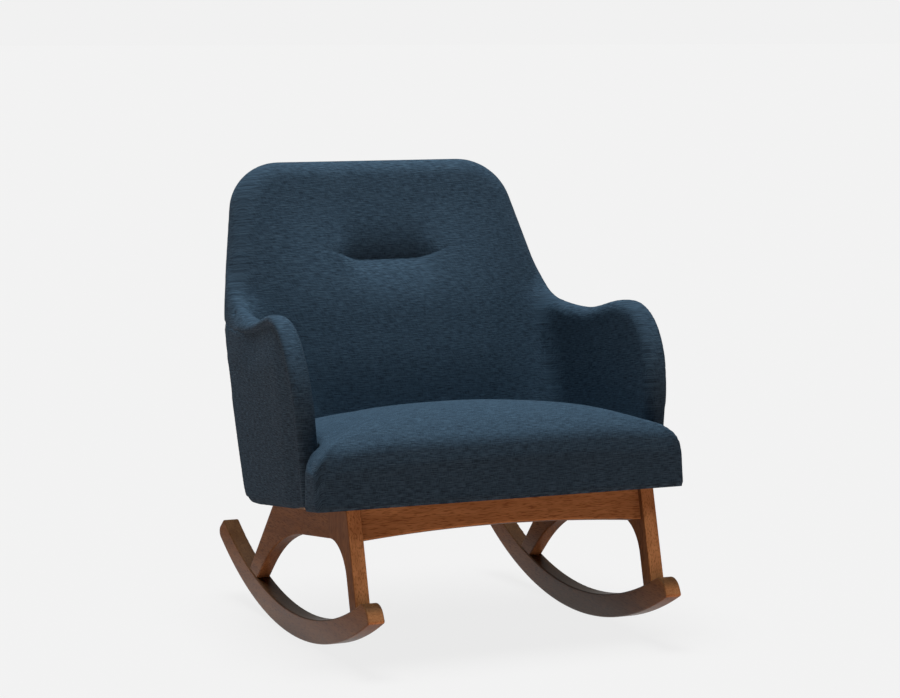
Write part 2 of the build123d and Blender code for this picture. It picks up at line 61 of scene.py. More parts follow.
# Lines of the frame, in metres: the deck that the seat stands on, and the front of the back
SEAT_TILT = math.radians(7)
BACK_RECLINE = math.radians(24)
DECK_CORNER = np.array((0.0, -0.3036, 0.287))
BACK_FOOT = np.array((0.0, 0.0547, 0.2430))
DECK_UP = np.array((0.0, math.sin(SEAT_TILT), math.cos(SEAT_TILT)))
DECK_BACK = np.array((0.0, math.cos(SEAT_TILT), -math.sin(SEAT_TILT)))
BACK_UP = np.array((0.0, math.sin(BACK_RECLINE), math.cos(BACK_RECLINE)))
BACK_FRONT = np.array((0.0, -math.cos(BACK_RECLINE), math.sin(BACK_RECLINE)))

WALNUT = {
    "runner": ("runner_left", "runner_right"),
    "side": ("side_rail_left", "side_rail_right"),
    "front_leg": ("front_leg_left", "front_leg_right"),
    "rear_leg": ("rear_leg_left", "rear_leg_right"),
    "cross": ("front_rail", "rear_rail"),
}
HIDDEN_WOOD = (
    "base_corner_blocks", "runner_dowels", "side_dowels", "cross_dowels", "seat_front_rail",
    "seat_rear_rail", "seat_side_rail_left", "seat_side_rail_right", "seat_corner_blocks",
    "arm_board_left", "arm_board_right", "back_post_left", "back_post_right", "back_top_rail",
    "back_tuft_rail",
)
STRAPS = ("seat_webbing", "back_webbing", "tuft_ties")
HARDWARE = ("seat_bolts", "bolt_washers", "tee_nuts")

# Outside of the arms and edge of their panels, in metres
ARM_FRONT = -0.2316
ARM_LENGTH = 0.416
ARM_HALF_WIDTH = 0.375
ARM_TAPER = 0.018
ARM_MIDDLE_HEIGHT = 0.430
PANEL_FRONT = -0.2176
PANEL_CREST = 0.606
PANEL_DIP = 0.581
HEM_RADIUS = 0.014
HEEL_RADIUS = 0.036

# Yarn of the cloth: noise cells per metre along the weft and the warp, and the pitch of its threads
SLUB_CELLS = (60.0, 820.0)
STREAK_CELLS = (15.0, 460.0)
WARP_CELLS = (820.0, 100.0)
FLECK_CELLS = 620.0
CLOUD_CELLS = 5.0
THREAD_PITCH = 0.0012

# Directions of weft and warp
ACROSS = (1.0, 0.0, 0.0)
ALONG = (0.0, 1.0, 0.0)
UPWARD = (0.0, 0.0, 1.0)


class RockerSizes(bpy.types.PropertyGroup):
    """Sizes of the upholstery that a user would change"""

    shell_voxel: FloatProperty(
        name="Shell voxel", description="Mesh size of the back and arms", default=0.0055, unit="LENGTH")
    seat_voxel: FloatProperty(
        name="Seat voxel", description="Mesh size of the seat", default=0.0055, unit="LENGTH")
    panel_voxel: FloatProperty(
        name="Panel voxel", description="Mesh size of the outside panels", default=0.0035, unit="LENGTH")
    tuft_height: FloatProperty(
        name="Pinch height", description="Stitched pinch, up the back", default=0.489, unit="LENGTH")
    tuft_half: FloatProperty(
        name="Pinch half length", description="Half the length of the pinch", default=0.088, unit="LENGTH")
    tuft_depth: FloatProperty(
        name="Pinch depth", description="How far the stitches pull the cloth in",
        default=0.027, unit="LENGTH")
    back_crown: FloatProperty(
        name="Back crown", description="Swell of the filling of the back", default=0.026, unit="LENGTH")
    seam_depth: FloatProperty(
        name="Seam depth", description="How far a plain seam sinks", default=0.003, unit="LENGTH")
    panel_sink: FloatProperty(
        name="Panel sink", description="Outside arm panel below its band at the seam",
        default=0.005, unit="LENGTH")
    panel_swell: FloatProperty(
        name="Panel swell", description="Filling of the outside panels", default=0.003, unit="LENGTH")


class RockerColours(bpy.types.PropertyGroup):
    """Colours of cloth, wood and metal"""

    cloth_dark: FloatVectorProperty(
        name="Dark yarn", description="Darkest yarn of the cloth",
        subtype="COLOR", default=(0.014, 0.027, 0.044))
    cloth_mid: FloatVectorProperty(
        name="Main yarn", description="Main yarn of the cloth",
        subtype="COLOR", default=(0.045, 0.089, 0.138))
    cloth_light: FloatVectorProperty(
        name="Slub yarn", description="Pale flecks of the cloth",
        subtype="COLOR", default=(0.085, 0.150, 0.215))
    walnut_dark: FloatVectorProperty(
        name="Walnut dark", description="Dark grain", subtype="COLOR", default=(0.110, 0.033, 0.011))
    walnut_mid: FloatVectorProperty(
        name="Walnut", description="Main stain", subtype="COLOR", default=(0.375, 0.172, 0.070))
    walnut_light: FloatVectorProperty(
        name="Walnut light", description="Pale grain and rubbed edges",
        subtype="COLOR", default=(0.525, 0.260, 0.110))
    backdrop: FloatVectorProperty(
        name="Backdrop", description="Floor and background", subtype="COLOR", default=(0.880, 0.880, 0.880))


def settings():
    return bpy.context.scene.rocker_sizes, bpy.context.scene.rocker_colours


# Mesh helpers

def merged_copy(name, node_names, shifts=((0.0, 0.0, 0.0),)):
    """New object with the merged meshes of CAD nodes, repeated at each shift."""
    bm = bmesh.new()
    for node in node_names:
        for shift in shifts:
            before = len(bm.verts)
            bm.from_mesh(NODES[node].data)
            bm.verts.ensure_lookup_table()
            bmesh.ops.translate(bm, vec=Vector(shift), verts=bm.verts[before:])
    bmesh.ops.remove_doubles(bm, verts=bm.verts, dist=1e-5)
    mesh = bpy.data.meshes.new(name)
    bm.to_mesh(mesh)
    bm.free()
    piece = bpy.data.objects.new(name, mesh)
    bpy.context.scene.collection.objects.link(piece)
    return piece


def bake_modifiers(piece):
    """Puts the result of a piece's modifiers into its mesh."""
    bpy.context.view_layer.update()
    result = piece.evaluated_get(bpy.context.evaluated_depsgraph_get())
    mesh = bpy.data.meshes.new_from_object(result)
    piece.modifiers.clear()
    old = piece.data
    piece.data = mesh
    bpy.data.meshes.remove(old)


def voxel_remesh(piece, size):
    remesh = piece.modifiers.new("Voxels", "REMESH")
    remesh.mode = "VOXEL"
    remesh.voxel_size = size
    bake_modifiers(piece)


def read_points(piece):
    points = np.empty(len(piece.data.vertices) * 3)
    piece.data.vertices.foreach_get("co", points)
    return points.reshape(-1, 3)


def read_normals(piece):
    normals = np.empty(len(piece.data.vertices) * 3)
    piece.data.vertices.foreach_get("normal", normals)
    return normals.reshape(-1, 3)


def write_points(piece, points):
    piece.data.vertices.foreach_set("co", points.ravel())
    piece.data.update()


def read_edges(piece):
    edges = np.empty(len(piece.data.edges) * 2, dtype=np.int64)
    piece.data.edges.foreach_get("vertices", edges)
    return edges.reshape(-1, 2)


def neighbour_mean(points, edges):
    count = len(points)
    degree = np.bincount(edges.ravel(), minlength=count)
    total = np.empty_like(points)
    for axis in range(3):
        total[:, axis] = np.bincount(edges[:, 0], points[edges[:, 1], axis], minlength=count)
        total[:, axis] += np.bincount(edges[:, 1], points[edges[:, 0], axis], minlength=count)
    return total / np.maximum(degree, 1)[:, None]


def relax(piece, rounds, weight=1.0, back_step=-0.53):
    """Evens out the steps of the voxels; the back step keeps the volume."""
    points, edges = read_points(piece), read_edges(piece)
    for _ in range(rounds):
        for step in (0.5, back_step):
            points = points + step * weight * (neighbour_mean(points, edges) - points)
    write_points(piece, points)


def fill_hollows(piece, weight, rounds):
    """Rounds out hollow corners without wearing down the full ones."""
    points, edges = read_points(piece), read_edges(piece)
    for turn in range(rounds):
        if turn % 5 == 0:
            write_points(piece, points)
            normals = read_normals(piece)
        step = neighbour_mean(points, edges) - points
        lift = np.einsum("ij,ij->i", step, normals)
        step -= normals * np.minimum(lift, 0.0)[:, None]
        points = points + 0.5 * weight[:, None] * step
    write_points(piece, points)


def back_place(points):
    """Across, up and out from the front of the back."""
    rel = points - BACK_FOOT
    return points[:, 0], rel @ BACK_UP, rel @ BACK_FRONT


def deck_place(points):
    """How far back along the deck, and how far above it."""
    rel = points - DECK_CORNER
    return rel @ DECK_BACK, rel @ DECK_UP


def half_width(points):
    """Distance from the middle of the chair."""
    return np.abs(points[:, 0])


def level_foot(piece, reach, facing_reach=0.0):
    """Lays the lowest points of a piece flat on the deck, and those that face it from further off."""
    points = read_points(piece)
    _, height = deck_place(points)
    facing = read_normals(piece) @ DECK_UP < -0.3
    near = (np.abs(height) < reach) | (facing & (np.abs(height) < facing_reach))
    points -= np.where(near, height, 0.0)[:, None] * DECK_UP
    write_points(piece, points)


def smooth_step(low, high, values):
    t = np.clip((values - low) / (high - low), 0.0, 1.0)
    return t * t * (3.0 - 2.0 * t)


def line_distance(points, line):
    """Distance of each point from a polyline."""
    best = np.full(len(points), np.inf)
    for start, end in zip(line[:-1], line[1:]):
        along = end - start
        t = np.clip((points - start) @ along / (along @ along), 0.0, 1.0)
        best = np.minimum(best, np.linalg.norm(points - start - t[:, None] * along, axis=1))
    return best


def refine_near(piece, line, reach, cuts):
    """Splits the edges near a line, so that a seam has points to lie on."""
    near = line_distance(read_points(piece), line) < reach
    bm = bmesh.new()
    bm.from_mesh(piece.data)
    bm.verts.ensure_lookup_table()
    edges = [edge for edge in bm.edges if near[edge.verts[0].index] and near[edge.verts[1].index]]
    bmesh.ops.subdivide_edges(bm, edges=edges, cuts=cuts, use_grid_fill=True)
    bmesh.ops.triangulate(bm, faces=[face for face in bm.faces if len(face.verts) > 4])
    bm.to_mesh(piece.data)
    bm.free()


def sink_seam(piece, line, width, depth):
    """Presses a plain seam into a piece along a line."""
    refine_near(piece, line, width * 2.5, 2)
    points = read_points(piece)
    away = line_distance(points, line) / width
    groove = np.exp(-away ** 2)
    write_points(piece, points - read_normals(piece) * (groove * depth)[:, None])


def round_hem(piece):
    """Rounds the lower outside edge of the arms."""
    points = read_points(piece)
    _, height = deck_place(points)
    drop = np.clip(HEM_RADIUS - height, 0.0, HEM_RADIUS)
    move = HEM_RADIUS - np.sqrt(HEM_RADIUS ** 2 - drop ** 2)
    points[:, 0] -= np.sign(points[:, 0]) * (move * smooth_step(0.335, 0.350, half_width(points)))
    write_points(piece, points)


def lower_saddle(piece):
    """Lets the top of the arms fall outwards where they reach the back."""
    drop, rear_drop, spread = 0.014, 0.010, 0.003
    points = read_points(piece)
    height = smooth_step(0.48, 0.57, points[:, 2]) * smooth_step(0.72, 0.60, points[:, 2])
    reach = smooth_step(0.00, 0.13, points[:, 1]) * smooth_step(0.335, 0.368, half_width(points))
    points[:, 2] -= (drop + rear_drop * smooth_step(0.10, 0.19, points[:, 1])) * height * reach
    points[:, 0] += spread * height * reach * np.sign(points[:, 0])
    write_points(piece, points)


def round_heel(piece):
    """Rounds the lower rear corner of the body in side view."""
    points = read_points(piece)
    lean = (BACK_UP @ DECK_BACK) / (BACK_UP @ DECK_UP)
    along, height = deck_place(points)
    along = along - lean * height
    start = along[height < 0.08].max() - HEEL_RADIUS
    u = np.clip((along - start) / HEEL_RADIUS, 0.0, None)
    v = np.clip((HEEL_RADIUS - height) / HEEL_RADIUS, 0.0, None)
    reach = np.hypot(u, v)
    share = np.where(reach > 0, np.maximum(u, v) / np.where(reach > 0, reach, 1.0), 1.0)
    share = 1.0 - (1.0 - share) * smooth_step(0.24, 0.31, half_width(points))
    corner = ((u > 0) & (v > 0))[:, None]
    rise = (HEEL_RADIUS * v * (1.0 - share))[:, None] * (DECK_UP + lean * DECK_BACK)
    pull = (HEEL_RADIUS * u * (1.0 - share))[:, None] * DECK_BACK
    write_points(piece, points + corner * (rise - pull))


def press_out(piece, held, pressure, cap):
    """Lets the filling press the cloth out, with the held points still, by no more than a cap."""
    frames = 14
    start = read_points(piece)
    group = piece.vertex_groups.new(name="held")
    for share in np.unique(np.round(held, 1)):
        if share > 0:
            group.add(np.flatnonzero(np.round(held, 1) == share).tolist(), float(share), "REPLACE")
    cloth = piece.modifiers.new("Filling", "CLOTH")
    cloth.settings.quality = 4
    cloth.settings.mass = 0.3
    cloth.settings.tension_stiffness = 12.0
    cloth.settings.compression_stiffness = 12.0
    cloth.settings.bending_stiffness = 0.5
    cloth.settings.use_pressure = True
    cloth.settings.uniform_pressure_force = pressure
    cloth.settings.vertex_group_mass = group.name
    cloth.settings.effector_weights.gravity = 0.0
    cloth.collision_settings.use_collision = False
    cloth.point_cache.frame_start = 1
    cloth.point_cache.frame_end = frames
    scene = bpy.context.scene
    for step in range(1, frames + 1):
        scene.frame_set(step)
    bake_modifiers(piece)
    piece.vertex_groups.clear()
    move = read_points(piece) - start
    length = np.linalg.norm(move, axis=1)[:, None]
    write_points(piece, start + move * cap / (cap + length))
    scene.frame_set(1)


def add_block(piece, centre, axes, size):
    """Joins a block to a piece, to fill a hollow before the voxels."""
    bm = bmesh.new()
    bm.from_mesh(piece.data)
    turn = Matrix(axes).transposed().to_4x4()
    scale = Matrix.Diagonal((*size, 1.0))
    bmesh.ops.create_cube(bm, size=1.0, matrix=Matrix.Translation(centre) @ turn @ scale)
    bm.to_mesh(piece.data)
    bm.free()


def store_weave(piece, across, along):
    """Keeps the place of each point in its flat cloth, for the weave."""
    flat = np.stack((across, along, np.zeros(len(across))), axis=1)
    attribute = piece.data.attributes.new("flat_cloth", "FLOAT_VECTOR", "POINT")
    attribute.data.foreach_set("vector", flat.ravel())


def finish_soft(piece, nodes, material):
    piece.data.shade_smooth()
    piece.data.materials.clear()
    piece.data.materials.append(material)
    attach(piece, "root")
    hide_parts(*nodes)


# Shader helpers

def new_material(name):
    material = bpy.data.materials.new(name)
    material.use_nodes = True
    material.node_tree.nodes.clear()
    return material, material.node_tree


def wire(tree, source, target):
    tree.links.new(source, target)


def math_node(tree, operation, a, b=None, clamp=False):
    node = tree.nodes.new("ShaderNodeMath")
    node.operation = operation
    node.use_clamp = clamp
    for socket, value in zip(node.inputs, (a, b)):
        if isinstance(value, (int, float)):
            socket.default_value = value
        elif value is not None:
            wire(tree, value, socket)
    return node.outputs[0]


def scaled(tree, value, factor):
    return math_node(tree, "MULTIPLY", value, factor)


def dot_node(tree, a, b):
    node = tree.nodes.new("ShaderNodeVectorMath")
    node.operation = "DOT_PRODUCT"
    wire(tree, a, node.inputs[0])
    wire(tree, b, node.inputs[1])
    return node.outputs["Value"]


def combine_node(tree, x, y, z=None):
    node = tree.nodes.new("ShaderNodeCombineXYZ")
    for socket, value in zip(node.inputs, (x, y, z)):
        if value is not None:
            wire(tree, value, socket)
    return node.outputs[0]


def noise_node(tree, vector, scale, detail=2.0, roughness=0.5):
    node = tree.nodes.new("ShaderNodeTexNoise")
    node.inputs["Scale"].default_value = scale
    node.inputs["Detail"].default_value = detail
    node.inputs["Roughness"].default_value = roughness
    wire(tree, vector, node.inputs["Vector"])
    return node.outputs["Fac"]


def yarn_noise(tree, u, v, cells, detail, roughness=0.5):
    """Noise stretched along the yarn."""
    place = combine_node(tree, scaled(tree, u, cells[0]), scaled(tree, v, cells[1]))
    return noise_node(tree, place, 1.0, detail, roughness)


def range_node(tree, value, low, high, new_low=0.0, new_high=1.0):
    node = tree.nodes.new("ShaderNodeMapRange")
    node.inputs["From Min"].default_value = low
    node.inputs["From Max"].default_value = high
    node.inputs["To Min"].default_value = new_low
    node.inputs["To Max"].default_value = new_high
    wire(tree, value, node.inputs["Value"])
    return node.outputs["Result"]


def mix_node(tree, factor, a, b):
    node = tree.nodes.new("ShaderNodeMix")
    node.data_type = "RGBA"
    wire(tree, factor, node.inputs["Factor"])
    wire(tree, a, node.inputs["A"])
    wire(tree, b, node.inputs["B"])
    return node.outputs["Result"]


def new_group(name, inputs, outputs):
    """Shader node group with named sockets: each is (name, socket type)."""
    group = bpy.data.node_groups.new(name, "ShaderNodeTree")
    for socket, kind in inputs:
        group.interface.new_socket(socket, in_out="INPUT", socket_type="NodeSocket" + kind)
    for socket, kind in outputs:
        group.interface.new_socket(socket, in_out="OUTPUT", socket_type="NodeSocket" + kind)
    start = group.nodes.new("NodeGroupInput")
    end = group.nodes.new("NodeGroupOutput")
    return group, start.outputs, end.inputs


def fill_sockets(tree, node, values):
    """Wires or sets the named inputs of a node."""
    for name, value in values.items():
        if isinstance(value, bpy.types.NodeSocket):
            wire(tree, value, node.inputs[name])
        else:
            node.inputs[name].default_value = value


def placed(tree, group, values):
    node = tree.nodes.new("ShaderNodeGroup")
    node.node_tree = group
    fill_sockets(tree, node, values)
    return node.outputs


def object_place(tree):
    return tree.nodes.new("ShaderNodeTexCoord").outputs["Object"]


def bump_node(tree, height, strength, distance):
    node = tree.nodes.new("ShaderNodeBump")
    fill_sockets(tree, node, {"Height": height, "Strength": strength, "Distance": distance})
    return node.outputs["Normal"]


def surface(tree, values):
    """Ends a material in one principled surface."""
    shader = tree.nodes.new("ShaderNodeBsdfPrincipled")
    fill_sockets(tree, shader, values)
    wire(tree, shader.outputs[0], tree.nodes.new("ShaderNodeOutputMaterial").inputs["Surface"])


def colour(values):
    return (*values, 1.0)


def weave_group():
    """Heathered plain weave: slubs along the weft, flecks of yarn and the threads themselves."""
    if "Heathered weave" in bpy.data.node_groups:
        return bpy.data.node_groups["Heathered weave"]
    inputs = [("Vector", "Vector"), ("Weft", "Vector"), ("Warp", "Vector"), ("Dark", "Color"),
              ("Main", "Color"), ("Slub", "Color")]
    outputs = [("Color", "Color"), ("Roughness", "Float"), ("Height", "Float")]
    group, given, out = new_group("Heathered weave", inputs, outputs)
    u = dot_node(group, given["Vector"], given["Weft"])
    v = dot_node(group, given["Vector"], given["Warp"])
    slub = yarn_noise(group, u, v, SLUB_CELLS, 2.0, 0.6)
    streak = yarn_noise(group, u, v, STREAK_CELLS, 1.0)
    warp_fleck = yarn_noise(group, u, v, WARP_CELLS, 1.0)
    fleck = noise_node(group, given["Vector"], FLECK_CELLS, 2.0, 0.7)
    cloud = noise_node(group, given["Vector"], CLOUD_CELLS, 2.0)
    pitch = 2.0 * math.pi / THREAD_PITCH
    weft_thread = math_node(group, "SINE", scaled(group, v, pitch))
    warp_thread = math_node(group, "SINE", scaled(group, u, pitch))
    threads = math_node(group, "MULTIPLY", weft_thread, warp_thread)
    crossed = math_node(group, "ADD", scaled(group, slub, 0.58), scaled(group, warp_fleck, 0.30))
    heather = math_node(group, "ADD", crossed, scaled(group, fleck, 0.12))
    ground = mix_node(group, range_node(group, heather, 0.40, 0.60), given["Dark"], given["Main"])
    long_slubs = range_node(group, streak, 0.48, 0.76, 0.0, 0.60)
    slubs = math_node(group, "ADD", range_node(group, slub, 0.50, 0.78), long_slubs)
    patches = range_node(group, cloud, 0.25, 0.75, 0.25, 0.50)
    tone = math_node(group, "MULTIPLY", slubs, patches, clamp=True)
    wire(group, mix_node(group, tone, ground, given["Slub"]), out["Color"])
    wire(group, range_node(group, fleck, 0.2, 0.8, 0.72, 0.95), out["Roughness"])
    height = math_node(group, "ADD", scaled(group, threads, 0.25), scaled(group, slub, 1.2))
    wire(group, height, out["Height"])
    return group


def grain_group():
    """Stained grain along X of its vector: broad figure, fine fibres and open pores."""
    if "Stained grain" in bpy.data.node_groups:
        return bpy.data.node_groups["Stained grain"]
    inputs = [("Vector", "Vector"), ("Dark", "Color"), ("Main", "Color"), ("Light", "Color")]
    outputs = [("Color", "Color"), ("Roughness", "Float"), ("Height", "Float")]
    group, given, out = new_group("Stained grain", inputs, outputs)
    figure = noise_node(group, given["Vector"], 14.0, 3.0, 0.55)
    fibre = noise_node(group, given["Vector"], 95.0, 3.0, 0.6)
    pores = noise_node(group, given["Vector"], 430.0, 1.0)
    rings = math_node(group, "SINE", scaled(group, figure, 22.0))
    ring_tone = range_node(group, rings, -1.0, 1.0, 0.0, 0.40)
    tone = math_node(group, "ADD", ring_tone, range_node(group, fibre, 0.3, 0.7, 0.0, 0.45))
    ground = mix_node(group, range_node(group, tone, 0.15, 0.85), given["Main"], given["Light"])
    pits = range_node(group, pores, 0.52, 0.66)
    wire(group, mix_node(group, scaled(group, pits, 0.55), ground, given["Dark"]), out["Color"])
    wire(group, range_node(group, fibre, 0.25, 0.75, 0.34, 0.48), out["Roughness"])
    wire(group, math_node(group, "SUBTRACT", fibre, pits), out["Height"])
    return group


def worn_edge_group():
    """Mask of the edges that hands and feet rub."""
    if "Rubbed edges" in bpy.data.node_groups:
        return bpy.data.node_groups["Rubbed edges"]
    inputs = [("Vector", "Vector"), ("Width", "Float")]
    group, given, out = new_group("Rubbed edges", inputs, [("Mask", "Float")])
    bevel = group.nodes.new("ShaderNodeBevel")
    bevel.samples = 6
    wire(group, given["Width"], bevel.inputs["Radius"])
    shape = group.nodes.new("ShaderNodeNewGeometry")
    turn = dot_node(group, bevel.outputs["Normal"], shape.outputs["Normal"])
    edge = range_node(group, turn, 0.995, 0.93)
    patch = range_node(group, noise_node(group, given["Vector"], 60.0, 2.0), 0.35, 0.65, 0.35, 1.0)
    wire(group, math_node(group, "MULTIPLY", edge, patch), out["Mask"])
    return group


def cloth_material(name, weft, warp, flat=False):
    """Navy heathered cloth whose weft and warp run along the given directions."""
    existing = bpy.data.materials.get(name)
    if existing:
        return existing
    _, colours = settings()
    material, tree = new_material(name)
    if flat:
        stored = tree.nodes.new("ShaderNodeAttribute")
        stored.attribute_name = "flat_cloth"
        place = stored.outputs["Vector"]
    else:
        place = object_place(tree)
    weave = placed(tree, weave_group(), {
        "Vector": place, "Weft": weft, "Warp": warp, "Dark": colour(colours.cloth_dark),
        "Main": colour(colours.cloth_mid), "Slub": colour(colours.cloth_light)})
    surface(tree, {
        "Base Color": weave["Color"], "Roughness": weave["Roughness"],
        "Normal": bump_node(tree, weave["Height"], 0.20, 0.0006), "Specular IOR Level": 0.06,
        "Sheen Weight": 0.01, "Sheen Roughness": 0.45, "Sheen Tint": (0.45, 0.65, 0.85, 1.0)})
    return material


def wood_material(name, tones, turn, shift, gloss):
    """Wood in a dark, a main and a light tone, whose grain runs along the X axis of a turned vector.

    Faces to the front and rear are painted paler than the sides as painted light, and tops are painted
    darkest as painted shade. The gloss is that of the polish near the floor.
    """
    dark, main, light = (colour(tone) for tone in tones)
    material, tree = new_material(name)
    place = object_place(tree)
    mapping = tree.nodes.new("ShaderNodeMapping")
    mapping.vector_type = "TEXTURE"
    fill_sockets(tree, mapping, {
        "Vector": place, "Location": shift, "Rotation": turn, "Scale": (7.0, 0.7, 0.7)})
    grain = placed(tree, grain_group(), {
        "Vector": mapping.outputs[0], "Dark": dark, "Main": main, "Light": light})
    wear = placed(tree, worn_edge_group(), {"Vector": place, "Width": 0.003})
    rub = tree.nodes.new("ShaderNodeRGB")
    rub.outputs[0].default_value = colour([min(1.0, part * 1.25) for part in tones[2]])
    rubbed = mix_node(tree, scaled(tree, wear["Mask"], 0.35), grain["Color"], rub.outputs[0])
    # Painted light and shade: the stain is scaled by which way each face points, paler on front and rear
    # faces (edge, painted light) and darkest on tops (painted shade)
    turned = tree.nodes.new("ShaderNodeSeparateXYZ")
    wire(tree, tree.nodes.new("ShaderNodeTexCoord").outputs["Normal"], turned.inputs[0])
    edge = range_node(tree, math_node(tree, "ABSOLUTE", turned.outputs["Y"]), 0.5, 0.9, 0.50, 1.35)
    painted_top_shade = range_node(tree, turned.outputs["Z"], 0.2, 0.7, 1.0, 0.45)
    # Base colour: the stain times this painted light and shade
    stain = tree.nodes.new("ShaderNodeVectorMath")
    stain.operation = "SCALE"
    wire(tree, rubbed, stain.inputs[0])
    wire(tree, math_node(tree, "MULTIPLY", edge, painted_top_shade), stain.inputs["Scale"])
    height = tree.nodes.new("ShaderNodeSeparateXYZ")
    wire(tree, place, height.inputs[0])
    polish = range_node(tree, height.outputs["Z"], 0.03, 0.13, 1.0, 0.0)
    surface(tree, {
        "Base Color": stain.outputs[0], "Roughness": grain["Roughness"],
        "Normal": bump_node(tree, grain["Height"], 0.12, 0.0004), "Specular IOR Level": 0.015,
        "Coat Weight": scaled(tree, polish, gloss), "Coat Roughness": 0.35})
    return material


def lining_material():
    """Thin black cloth."""
    material, tree = new_material("Black lining")
    tint = range_node(tree, noise_node(tree, object_place(tree), 700.0), 0.3, 0.7, 0.008, 0.022)
    surface(tree, {"Base Color": combine_node(tree, tint, tint, tint), "Roughness": 0.9})
    return material


def strap_material():
    """Brown webbing."""
    material, tree = new_material("Woven strap")
    weave = placed(tree, weave_group(), {
        "Vector": object_place(tree), "Weft": ACROSS, "Warp": (0.0, 1.0, 1.0),
        "Dark": (0.05, 0.035, 0.02, 1.0), "Main": (0.11, 0.08, 0.05, 1.0), "Slub": (0.18, 0.14, 0.09, 1.0)})
    surface(tree, {"Base Color": weave["Color"], "Roughness": weave["Roughness"]})
    return material


def steel_material():
    """Zinc plated steel."""
    material, tree = new_material("Zinc plated steel")
    dullness = range_node(tree, noise_node(tree, object_place(tree), 320.0), 0.3, 0.7, 0.25, 0.45)
    surface(tree, {"Base Color": (0.56, 0.57, 0.58, 1.0), "Metallic": 1.0, "Roughness": dullness})
    return material


def dress_node(name, material):
    node = NODES[name]
    node.data.materials.clear()
    node.data.materials.append(material)


# Pieces

def arm_outside(points):
    """Half width of the outside of an arm beside each point."""
    share = (points[:, 1] - ARM_FRONT) / ARM_LENGTH
    flare = np.radians(5.0 - 6.0 * share)
    return ARM_HALF_WIDTH - ARM_TAPER * share + np.tan(flare) * (points[:, 2] - ARM_MIDDLE_HEIGHT)


def panel_rim():
    """Edge of an outside arm panel in side view: up its front, over the crest and level to the back."""
    crest_y, nose_depth, nose_height = -0.0956, 0.122, 0.176
    turn = np.linspace(math.pi, math.pi / 2, 16)
    nose_z = ARM_MIDDLE_HEIGHT + nose_height * np.sin(turn)
    nose = np.stack((crest_y + nose_depth * np.cos(turn), nose_z), axis=1)
    t = np.linspace(0.0, 1.0, 12)[1:, None]
    corners = np.array(((crest_y, PANEL_CREST), (-0.0336, PANEL_CREST),
                        (-0.0026, PANEL_DIP), (0.0594, PANEL_DIP)))
    fall = ((1 - t) ** 3 * corners[0] + 3 * t * (1 - t) ** 2 * corners[1]
            + 3 * t ** 2 * (1 - t) * corners[2] + t ** 3 * corners[3])
    side_view = np.concatenate((((PANEL_FRONT, 0.26),), nose, fall, ((0.24, PANEL_DIP),)))
    return np.concatenate((np.zeros((len(side_view), 1)), side_view), axis=1)


def panel_depth(points):
    """Whether each point lies inside the edge of an outside panel, and how far from it."""
    rim = panel_rim()[:, 1:]
    top = np.interp(points[:, 1], rim[1:, 0], rim[1:, 1])
    inside = (points[:, 1] > PANEL_FRONT) & (points[:, 2] < top)
    return inside, line_distance(points[:, 1:], rim)


def arm_seam(side):
    """Line where the inside arm is sewn to the back, up the corner and out over the top."""
    across_up = ((0.272, 0.09), (0.286, 0.20), (0.300, 0.30), (0.312, 0.345), (0.332, 0.372), (0.366, 0.392))
    start = BACK_FOOT + 0.012 * BACK_FRONT
    return [np.array((side * x, *(start + s * BACK_UP)[1:])) for x, s in across_up]


def pinch_rise(x):
    """How far the stitches of the pinch turn up towards their ends."""
    return 0.006 * np.minimum(np.abs(x) / 0.105, 1.2) ** 5


def pinch_line():
    across = np.linspace(-0.115, 0.115, 24)
    up = bpy.context.scene.rocker_sizes.tuft_height + pinch_rise(across)
    return [np.array((x, *(BACK_FOOT + s * BACK_UP)[1:])) for x, s in zip(across, up)]


